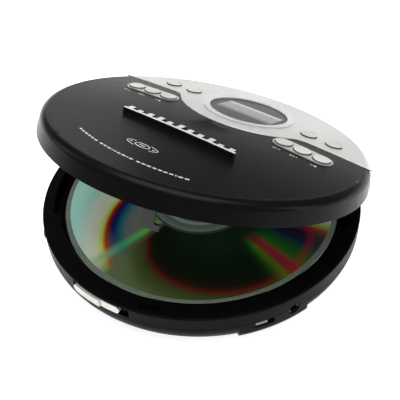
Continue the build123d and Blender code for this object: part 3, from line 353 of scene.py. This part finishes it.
# ------------------------------------------------------------------ disc
def disc_look():
    """Recorded side: painted diffraction colours and painted reflections by angle and radius, clear hub and clear
    rim; the colours are also emitted as a painted glow.
    """
    look = Look("disc_mirror", grey(120), 0.22, metal=0.55, coat=0.7)
    parts = look.new("ShaderNodeSeparateXYZ")
    look.put(parts.inputs[0], look.place)
    x, y = parts.outputs[0], parts.outputs[1]
    flat = look.math("SQRT", look.math("ADD", look.math("MULTIPLY", x, x), look.math("MULTIPLY", y, y)))
    radius = look.math("MULTIPLY", flat, 1000.0)
    turn = look.math("MULTIPLY", look.math("ARCTAN2", y, x), DEGREES)
    angle = look.math("WRAP", turn, 20.0, -160.0)

    # first fan: painted diffraction colours, from whitish green through yellow and red to blue and grey
    first = look.math("SUBTRACT", angle, look.math("MULTIPLY_ADD", radius, 2.535, -231.2))
    fan = look.ramp(look.spread(first, -40.0, 50.0), (
        (0.00, tone(146, 186, 172)), (0.18, tone(186, 196, 180)), (0.34, tone(188, 198, 158)),
        (0.405, tone(158, 186, 50)), (0.43, tone(178, 84, 34)), (0.455, tone(128, 26, 28)),
        (0.50, tone(40, 20, 60)), (0.55, tone(10, 24, 92)), (0.64, tone(30, 96, 100)),
        (0.74, tone(96, 102, 100)), (1.00, tone(108, 112, 92)),
    ))
    # paler copy towards the outer edge: a painted reflection of the bright surroundings
    pale_painted_reflection = look.ramp(look.spread(first, -40.0, 50.0), (
        (0.00, tone(150, 205, 190)), (0.22, tone(196, 208, 192)), (0.34, tone(200, 208, 170)),
        (0.395, tone(196, 208, 70)), (0.43, tone(214, 110, 50)), (0.46, tone(176, 70, 50)),
        (0.52, tone(120, 120, 90)), (0.70, tone(140, 146, 120)), (1.00, tone(120, 126, 90)),
    ))
    left = look.mix(look.spread(radius, 42.0, 54.0), fan, pale_painted_reflection)

    # second arc: painted diffraction colours, a red line with dark green inside it and olive outside; the dark
    # inside is a painted reflection of the lid's underside
    curve = look.new("ShaderNodeFloatCurve")
    look.put(curve.inputs["Value"], look.spread(angle, -160.0, 20.0))
    points = curve.mapping.curves[0].points
    arc = ((-160.0, 24.0), (-97.5, 33.0), (-80.0, 44.0), (-60.0, 51.3), (-40.0, 55.2), (-20.0, 55.6),
           (0.0, 54.0), (12.0, 50.0), (20.0, 44.0))
    while len(points) < len(arc):
        points.new(0.5, 0.5)
    for point, (at, reach) in zip(points, arc):
        point.location = ((at + 160.0) / 180.0, reach / 64.0)
    curve.mapping.update()
    second = look.math("SUBTRACT", radius, look.math("MULTIPLY", curve.outputs[0], 64.0))
    front = look.ramp(look.spread(second, -24.0, 14.0), (
        (0.00, tone(20, 34, 22)), (0.30, tone(12, 18, 12)), (0.48, tone(16, 17, 12)), (0.56, tone(30, 14, 12)),
        (0.61, tone(70, 16, 16)), (0.635, tone(102, 24, 22)), (0.665, tone(84, 54, 28)),
        (0.72, tone(70, 80, 40)), (0.84, tone(84, 98, 56)), (1.00, tone(108, 124, 84)),
    ))
    ridge = look.noise(9.0, 2.0, 0.5, look.stretch((1.0, 1.0, 1.0)))
    front = look.mix(look.spread(ridge, 0.35, 0.65, 0.0, 0.35), front, tone(18, 36, 18))

    # right-hand fan of painted diffraction colours, ending in a pale painted reflection
    right = look.ramp(look.spread(angle, -30.0, 20.0), (
        (0.00, tone(16, 34, 18)), (0.14, tone(24, 70, 20)), (0.24, tone(70, 120, 20)), (0.30, tone(132, 44, 38)),
        (0.36, tone(146, 38, 58)), (0.43, tone(44, 96, 28)), (0.52, tone(20, 84, 30)), (0.64, tone(14, 30, 60)),
        (0.76, tone(30, 20, 40)), (0.84, tone(112, 34, 34)), (0.90, tone(140, 150, 60)), (1.00, tone(150, 205, 190)),
    ))
    colour = look.mix(look.spread(angle, -104.0, -94.0), left, front)
    side = look.math("MULTIPLY", look.spread(angle, -27.0, -18.0), look.spread(radius, 30.0, 38.0), clamp=True)
    colour = look.mix(look.math("MULTIPLY", side, 0.72), colour, right)
    # a faint red arc of painted diffraction colour near the rim
    rim_arc = look.math("MULTIPLY", look.spread(second, -3.0, -0.6), look.spread(second, 2.2, 0.6), clamp=True)
    rim_arc = look.math("MULTIPLY", rim_arc, look.spread(angle, -24.0, -12.0), clamp=True)
    colour = look.mix(look.math("MULTIPLY", rim_arc, 0.4), colour, tone(130, 34, 34))

    # narrow green streak of painted diffraction colour
    away = look.math("ABSOLUTE", look.math("ADD", angle, 102.5))
    streak = look.spread(away, 4.0, 0.4)
    streak_colour = look.ramp(look.spread(radius, 22.0, 56.0), (
        (0.0, tone(70, 150, 50)), (0.3, tone(80, 196, 60)), (0.65, tone(60, 160, 120)), (1.0, tone(150, 180, 130)),
    ))
    colour = look.mix(look.math("MULTIPLY", streak, 0.85, clamp=True), colour, streak_colour)

    # clear hub with light and dark bands by radius, painted light and shade on its moulded rings, then the clear rim
    # with fine lines of painted highlight and shade
    hub = look.ramp(look.spread(radius, HUB_START, DATA_START + 0.5), (
        (0.0, tone(88, 98, 92)), (0.30, tone(104, 114, 108)), (0.52, tone(70, 80, 76)), (0.60, tone(128, 138, 132)),
        (0.70, tone(72, 84, 78)), (0.88, tone(96, 108, 100)), (0.93, tone(30, 36, 34)), (1.0, tone(100, 112, 104)),
    ))
    colour = look.mix(look.spread(radius, DATA_START - 0.4, DATA_START + 0.2), hub, colour)
    rings = look.math("SINE", look.math("MULTIPLY", radius, RING_PITCH))
    rim = look.ramp(look.spread(rings, -1.0, 1.0), (
        (0.0, tone(26, 30, 28)), (0.75, tone(60, 68, 60)), (1.0, tone(176, 188, 172)),
    ))
    colour = look.mix(look.spread(radius, DATA_END - 0.2, DATA_END + 0.2), colour, rim)
    look.put(look.bsdf.inputs["Base Color"], colour)
    # the disc's colours are also emitted: a painted glow that stands for the light it reflects
    look.put(look.bsdf.inputs["Emission Color"], colour)
    look.bsdf.inputs["Emission Strength"].default_value = 0.42
    starts = look.spread(radius, DATA_START, DATA_START + 0.4)
    data = look.math("MULTIPLY", starts, look.spread(radius, DATA_END, DATA_END - 0.4), clamp=True)
    look.put(look.bsdf.inputs["Metallic"], look.math("MULTIPLY", data, 0.55))
    grooves = look.math("SINE", look.math("MULTIPLY", radius, GROOVE_PITCH))
    look.bump(grooves, 0.02, 0.000004)
    look.bump(look.noise(60.0, 2.0), 0.05, 0.00004)
    return look


looks["disc_mirror"] = disc_look()

# ------------------------------------------------------------------ give every CAD node its material
for part in frame["record"]["subparts"]:
    node = nodes[part["node"]]
    node.data.materials.clear()
    node.data.materials.append(looks[part["material_slot"]].mat)
    for polygon in node.data.polygons:
        polygon.material_index = 0

# the badge is bright on top over dark sides; the key caps and buttons get a darker grey on their sides, a painted
# shade for the gap around each cap
dark_side = plastic("badge_side", grey(12), 0.3)
cap_side_painted_shade = plastic("cap_side_painted_shade", grey(58), 0.4)
for name, node in nodes.items():
    if name == "badge" or "_key_" in name and "bezel" not in name or name.startswith("button_"):
        node.data.materials.append((dark_side if name == "badge" else cap_side_painted_shade).mat)
        for polygon in node.data.polygons:
            polygon.material_index = int(polygon.normal.dot(LID.col[2].xyz) < CAP_SLOPE)


# ------------------------------------------------------------------ printed and moulded details on the lid
def lid_top(x, y):
    """Height of the lid's surface over a point, in mm, with the lid shut."""
    return LID_TOP - (DOME_RADIUS - math.sqrt(DOME_RADIUS ** 2 - x * x - y * y))


def print_look(name, colour, rough=0.4):
    look = Look(name, colour, rough)
    look.vary(0.08, 900.0)
    look.bump(look.noise(4000.0), 0.1, 0.00001)
    return look.mat


white_ink = print_look("white_ink", grey(215))
dark_ink = print_look("dark_ink", grey(70))


def plate(name, outlines, body, material, lift=0.03, thick=0.05):
    """Thin printed shapes that follow the lid: each outline is a list of (x, y) in mm."""
    verts, faces = [], []
    for outline in outlines:
        start = len(verts)
        count = len(outline)
        for height in (lift - thick, lift):
            for x, y in outline:
                verts.append(LID @ (Vector((x, y, lid_top(x, y) + height)) * MM))
        faces.append(tuple(range(start + count, start + 2 * count)))
        faces.append(tuple(reversed(range(start, start + count))))
        for k in range(count):
            n = (k + 1) % count
            faces.append((start + k, start + n, start + count + n, start + count + k))
    mesh = bpy.data.meshes.new(name)
    mesh.from_pydata(verts, [], faces)
    mesh.materials.append(material)
    obj = bpy.data.objects.new(name, mesh)
    bpy.context.scene.collection.objects.link(obj)
    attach(obj, body)
    return obj


def rect(cx, cy, w, h, turn=0.0):
    """Corners of a rectangle, turned about its middle."""
    c, s = math.cos(turn), math.sin(turn)
    return [(cx + px * c - py * s, cy + px * s + py * c)
            for px, py in ((-w / 2, -h / 2), (w / 2, -h / 2), (w / 2, h / 2), (-w / 2, h / 2))]


def triangle(cx, cy, size, way=1):
    """Corners of an arrowhead that points along x."""
    back_x, tip_x = cx - way * size / 2, cx + way * size / 2
    return [(back_x, cy - size / 2), (tip_x, cy), (back_x, cy + size / 2)][::way]


def ring_pieces(cx, cy, rx, ry, line, gaps=()):
    """An oval ring as short pieces, leaving out the angles in gaps."""
    out = []
    steps = 48
    for k in range(steps):
        a0, a1 = 2 * math.pi * k / steps, 2 * math.pi * (k + 1) / steps
        if any(low <= math.degrees(a0) <= high for low, high in gaps):
            continue
        out.append([
            (cx + (rx - less) * math.cos(a), cy + (ry - less) * math.sin(a))
            for a, less in ((a0, line), (a1, line), (a1, 0.0), (a0, 0.0))
        ])
    return out


# dashes along the front of the lid
dash_shapes = []
arc_centre, arc_radius = (2.0, 19.2), 74.6
lengths = (1.5, 1.5, 1.7, 1.5, 1.5, 1.7, 0, 1.6, 1.4, 1.6, 0.6, 0.9, 1.5, 1.6,
           0.6, 1.5, 0, 1.6, 1.5, 1.7, 1.5, 1.5, 1.5, 1.5, 0.6, 1.7, 1.6)
at = DASH_START
for length in lengths:
    if length:
        middle = math.radians(at + math.degrees(length / 2 / arc_radius))
        dash_shapes.append(rect(
            arc_centre[0] + arc_radius * math.cos(middle), arc_centre[1] + arc_radius * math.sin(middle),
            length, DASH_HEIGHT, middle + math.pi / 2,
        ))
    at += math.degrees((length + DASH_GAP if length else WORD_GAP) / arc_radius)
plate("front_dashes", dash_shapes, "lid", white_ink)

# plain oval mark
mark = ring_pieces(0, MARK_Y, 7.2, 2.3, 0.35, ((60, 120), (240, 300)))
mark += ring_pieces(0, MARK_Y, 3.4, 1.7, 0.4)
mark += [rect(0, MARK_Y, 2.6, 0.5), rect(-5.3, MARK_Y, 1.2, 0.45), rect(5.3, MARK_Y, 1.2, 0.45)]
plate("oval_mark", mark, "lid", white_ink)

# icons beside the keys
icons = []
for side in (-1, 1):
    for k, shape in zip((-1, 0, 1), ("bars", "play", "stop")):
        cx, cy = side * KEY_ROW_X + KEY_STEP * k, KEY_ROW_Y - KEY_RISE * k * side
        if shape == "bars":
            icons += [rect(cx - 0.45, cy, 0.4, 1.2), rect(cx + 0.45, cy, 0.4, 1.2), rect(cx + 2.0, cy, 1.2, 0.35)]
        elif shape == "play":
            icons += [triangle(cx - 1.0, cy, 1.1), triangle(cx + 0.3, cy, 1.1), rect(cx + 1.4, cy, 0.35, 1.1)]
        else:
            icons += [rect(cx - 0.6, cy, 1.2, 0.35), rect(cx + 1.0, cy, 1.1, 1.1)]
plate("key_icons", icons, "lid", white_ink)
panel_icons = []
for cx in PANEL_ICON_X:
    panel_icons += [triangle(cx - 0.8, PANEL_ICON_Y, 1.0), rect(cx + 0.7, PANEL_ICON_Y, 0.9, 0.3)]
plate("panel_icons", panel_icons, "lid", dark_ink)

def panel_edge():
    """Points along the panel's front edge on the shut lid, in mm."""
    points = [(-64.6, 22.0), (-50.0, 22.0), (-35.57, 22.0)]
    for k in range(1, 9):
        a = math.radians(90 - k * 53.9 / 8)
        points.append((-35.57 + 8 * math.cos(a), 14 + 8 * math.sin(a)))
    for k in range(1, 40):
        a = math.radians(216.1 + k * (323.9 - 216.1) / 40)
        points.append((36 * math.cos(a), PANEL_ARC_Y + 36 * math.sin(a)))
    points += [(-x, y) for x, y in reversed(points[:11])]
    return points


def bead(name, points, radius, lift, material):
    """A round bead that follows the lid's surface through points, in mm."""
    curve = bpy.data.curves.new(name, "CURVE")
    curve.dimensions = "3D"
    curve.bevel_depth = radius * MM
    curve.bevel_resolution = 3
    line = curve.splines.new("POLY")
    line.points.add(len(points) - 1)
    for point, (x, y) in zip(line.points, points):
        point.co = (*(LID @ (Vector((x, y, lid_top(x, y) + lift)) * MM)), 1.0)
    curve.materials.append(material)
    made = bpy.data.objects.new(name, curve)
    bpy.context.scene.collection.objects.link(made)
    bpy.context.view_layer.update()
    mesh = bpy.data.meshes.new_from_object(made.evaluated_get(bpy.context.evaluated_depsgraph_get()))
    bpy.data.objects.remove(made)
    obj = bpy.data.objects.new(name, mesh)
    bpy.context.scene.collection.objects.link(obj)
    for polygon in mesh.polygons:
        polygon.use_smooth = True
    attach(obj, "lid")
    return obj


bead("panel_bead", panel_edge(), 0.28, -0.08, looks["bright_trim"].mat)
bead("panel_seam", [(x, y - 0.5) for x, y in panel_edge()], 0.16, -0.1, dark_side.mat)

# ------------------------------------------------------------------ grip ribs on the latch slider
ribs_v, ribs_f = [], []
for k in range(RIB_COUNT):
    a = math.radians(RIB_START + RIB_STEP * k)
    start = len(ribs_v)
    for r in RIB_RADII:
        for z in RIB_HEIGHTS:
            for da in (-RIB_HALF_TURN, RIB_HALF_TURN):
                ribs_v.append(Vector((r * math.cos(a + da), r * math.sin(a + da), z)) * MM)
    ribs_f += [tuple(start + i for i in f) for f in (
        (0, 1, 3, 2), (4, 6, 7, 5), (0, 4, 5, 1), (2, 3, 7, 6), (0, 2, 6, 4), (1, 5, 7, 3),
    )]
ribs_mesh = bpy.data.meshes.new("slider_ribs")
ribs_mesh.from_pydata(ribs_v, [], ribs_f)
ribs_mesh.materials.append(print_look("rib_shadow", grey(120)))
ribs = bpy.data.objects.new("slider_ribs", ribs_mesh)
bpy.context.scene.collection.objects.link(ribs)
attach(ribs, "latch")

# ------------------------------------------------------------------ floor, light and camera
floor_look = Look("floor", grey(250), 0.9)
floor_look.bsdf.inputs["Specular IOR Level"].default_value = 0.0
floor_look.bsdf.inputs["Emission Color"].default_value = (1, 1, 1, 1)
floor_look.bsdf.inputs["Emission Strength"].default_value = 0.85
floor_mesh = bpy.data.meshes.new("floor")
floor_mesh.from_pydata([(-6, -6, 0), (6, -6, 0), (6, 6, 0), (-6, 6, 0)], [], [(0, 1, 2, 3)])
floor_mesh.materials.append(floor_look.mat)
floor = bpy.data.objects.new("floor", floor_mesh)
bpy.context.scene.collection.objects.link(floor)

world = bpy.data.worlds.new("studio")
bpy.context.scene.world = world
world.use_nodes = True
world.node_tree.nodes["Background"].inputs["Color"].default_value = (1.0, 1.0, 1.0, 1.0)
world.node_tree.nodes["Background"].inputs["Strength"].default_value = 0.2


def area(name, place, aim, size, power):
    """A soft square light that points at a place."""
    light = bpy.data.lights.new(name, "AREA")
    light.shape = "RECTANGLE"
    light.size, light.size_y = size
    light.energy = power
    lamp = bpy.data.objects.new(name, light)
    bpy.context.scene.collection.objects.link(lamp)
    lamp.location = place
    lamp.rotation_euler = (Vector(aim) - Vector(place)).to_track_quat("-Z", "Y").to_euler()


area("over", (0.0, 0.0, 1.0), (0, 0, 0.02), (0.9, 0.7), 9.0)
area("left", (-0.75, -0.25, 0.40), (0, 0, 0.03), (0.25, 0.5), 0.7)
area("right", (0.8, 0.25, 0.30), (0, 0, 0.03), (0.2, 0.5), 1.2)
area("rear_left", (-0.85, 0.75, 0.35), (0, 0, 0.03), (0.5, 0.35), 0.7)

AZIMUTH, ELEVATION, ROLL = math.radians(38.40), math.radians(42.94), math.radians(-2.60)
DISTANCE, ACROSS, UP = 286.06, -0.98, 9.24
back = Vector((
    math.sin(AZIMUTH) * math.cos(ELEVATION), -math.cos(AZIMUTH) * math.cos(ELEVATION), math.sin(ELEVATION),
))
side = Vector((math.cos(AZIMUTH), math.sin(AZIMUTH), 0))
rise = back.cross(side)
across = side * math.cos(ROLL) + rise * math.sin(ROLL)
upward = rise * math.cos(ROLL) - side * math.sin(ROLL)
camera_data = bpy.data.cameras.new("camera")
camera_data.sensor_width = 36.0
camera_data.lens = 55.712
camera_data.clip_start, camera_data.clip_end = 0.01, 20.0
camera = bpy.data.objects.new("camera", camera_data)
bpy.context.scene.collection.objects.link(camera)
turn = Matrix((across, upward, back)).transposed().to_4x4()
camera.matrix_world = Matrix.Translation((back * DISTANCE + across * ACROSS + upward * UP) * MM) @ turn
bpy.context.scene.camera = camera
bpy.context.scene.view_settings.view_transform = "Standard"
